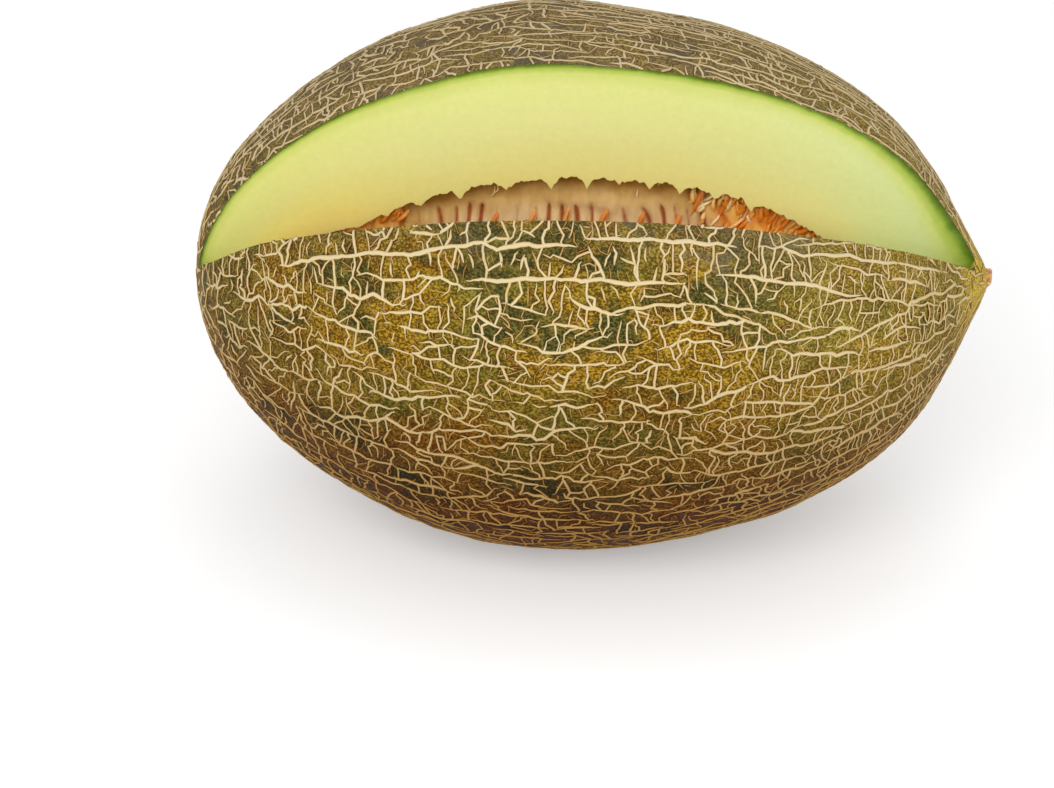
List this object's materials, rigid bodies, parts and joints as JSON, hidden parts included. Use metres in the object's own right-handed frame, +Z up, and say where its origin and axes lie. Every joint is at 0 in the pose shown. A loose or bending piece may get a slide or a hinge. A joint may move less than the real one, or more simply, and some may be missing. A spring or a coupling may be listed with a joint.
{
  "type": "piel de sapo melon",
  "caption": "Oval netted green melon with a wedge cut out of its upper front, showing pale flesh, the seed cavity, its pulp and seeds.",
  "frame": {"origin": "middle of the flat spot that the melon rests on, under its widest section", "axes": "+X along the melon to its stalk end, -Y the side that the wedge was cut from, +Z up"},
  "size_m": [0.2504, 0.1728, 0.1708],
  "materials": {
    "rind_and_flesh": "netted, dry and faintly waxy rind in olive, rust and dark green with cream cork netting; wet pale green flesh on the cut faces",
    "pulp": "wet stringy pinkish-cream membrane",
    "seed": "wet smooth orange-tan husk"
  },
  "bodies": {
    "root": {"melon_body": "rind_and_flesh", "seed_pulp": "pulp", "seed_01": "seed", "seed_02": "seed", "seed_03": "seed", "seed_04": "seed", "seed_05": "seed", "seed_06": "seed", "seed_07": "seed", "seed_08": "seed", "seed_09": "seed", "seed_10": "seed", "seed_11": "seed", "seed_12": "seed", "seed_13": "seed", "seed_14": "seed", "seed_15": "seed", "seed_16": "seed", "seed_17": "seed", "seed_18": "seed", "seed_19": "seed", "seed_20": "seed", "seed_21": "seed", "seed_22": "seed", "seed_23": "seed", "seed_24": "seed", "seed_25": "seed", "seed_26": "seed", "seed_27": "seed", "seed_28": "seed", "seed_29": "seed", "seed_30": "seed", "seed_31": "seed", "seed_32": "seed", "seed_33": "seed", "seed_34": "seed", "seed_35": "seed", "seed_36": "seed", "seed_37": "seed", "seed_38": "seed", "seed_39": "seed", "seed_40": "seed"}
  },
  "joints": []
}
